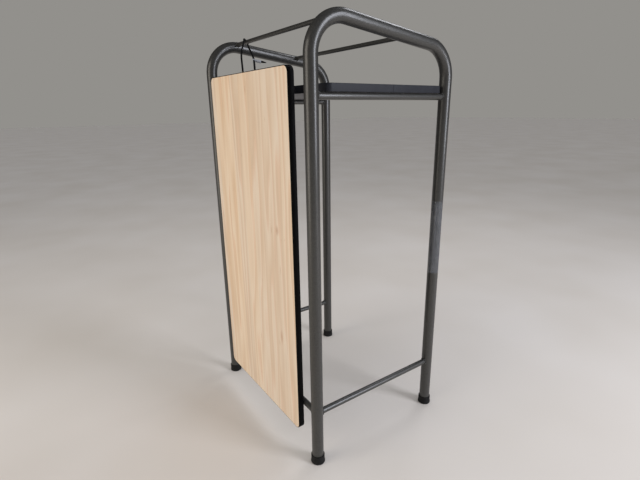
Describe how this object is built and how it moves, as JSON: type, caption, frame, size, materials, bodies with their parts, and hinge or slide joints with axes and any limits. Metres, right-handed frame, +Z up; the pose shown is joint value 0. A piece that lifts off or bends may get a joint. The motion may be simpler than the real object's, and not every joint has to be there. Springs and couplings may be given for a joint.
{
  "type": "ironing board",
  "caption": "Tall bent-tube ironing stand with a sloping top, a loose shelf on its rails and a rectangular ironing board hung on one side by a cord loop.",
  "frame": {"origin": "on the floor, at the middle of the four feet", "axes": "+X from the board side to the plain side, +Y from the near bent frame to the far one, +Z up"},
  "size_m": [0.3717, 0.4556, 0.8941],
  "materials": {
    "hammered_paint": "glossy hammered paint",
    "rubber": "matt black",
    "bare_steel": "zinc plated",
    "pine_face": "satin pine-look face",
    "grey_laminate": "dark grey laminate over a wood core",
    "black_edging": "satin black",
    "felt": "matt",
    "cover_cloth": "matt woven cotton",
    "cord": "braided",
    "clasp": "satin grey",
    "clear_sleeve": "clear film over paint"
  },
  "bodies": {
    "frame": {"near_leg_frame": "hammered_paint", "far_leg_frame": "hammered_paint", "near_upper_rail": "hammered_paint", "far_upper_rail": "hammered_paint", "near_lower_rail": "hammered_paint", "far_lower_rail": "hammered_paint", "left_lower_rail": "hammered_paint", "left_top_rod": "hammered_paint", "right_top_rod": "hammered_paint", "frame_welds": "hammered_paint", "near_left_foot": "rubber", "near_right_foot": "rubber", "far_left_foot": "rubber", "far_right_foot": "rubber", "foot_washers": "bare_steel", "leg_sleeve": "clear_sleeve"},
    "shelf": {"shelf_core": "grey_laminate", "shelf_edging": "black_edging"},
    "board": {"board_core": "pine_face", "edge_binding": "black_edging", "felt_pad": "felt", "ironing_cover": "cover_cloth", "hanging_loop": "cord", "loop_clasp": "clasp", "loop_tail": "cord", "loop_eyelets": "bare_steel"}
  },
  "joints": [
    {"name": "board_swing", "type": "hinge", "parent": "frame", "child": "board", "pos_m": [-0.1, 0.158, 0.8836], "axis": [0, 1, 0], "range_deg": [0, 60]},
    {"name": "shelf_lift", "type": "slide", "parent": "frame", "child": "shelf", "axis": [0, 0, 1], "range_m": [0, 0.035]}
  ]
}
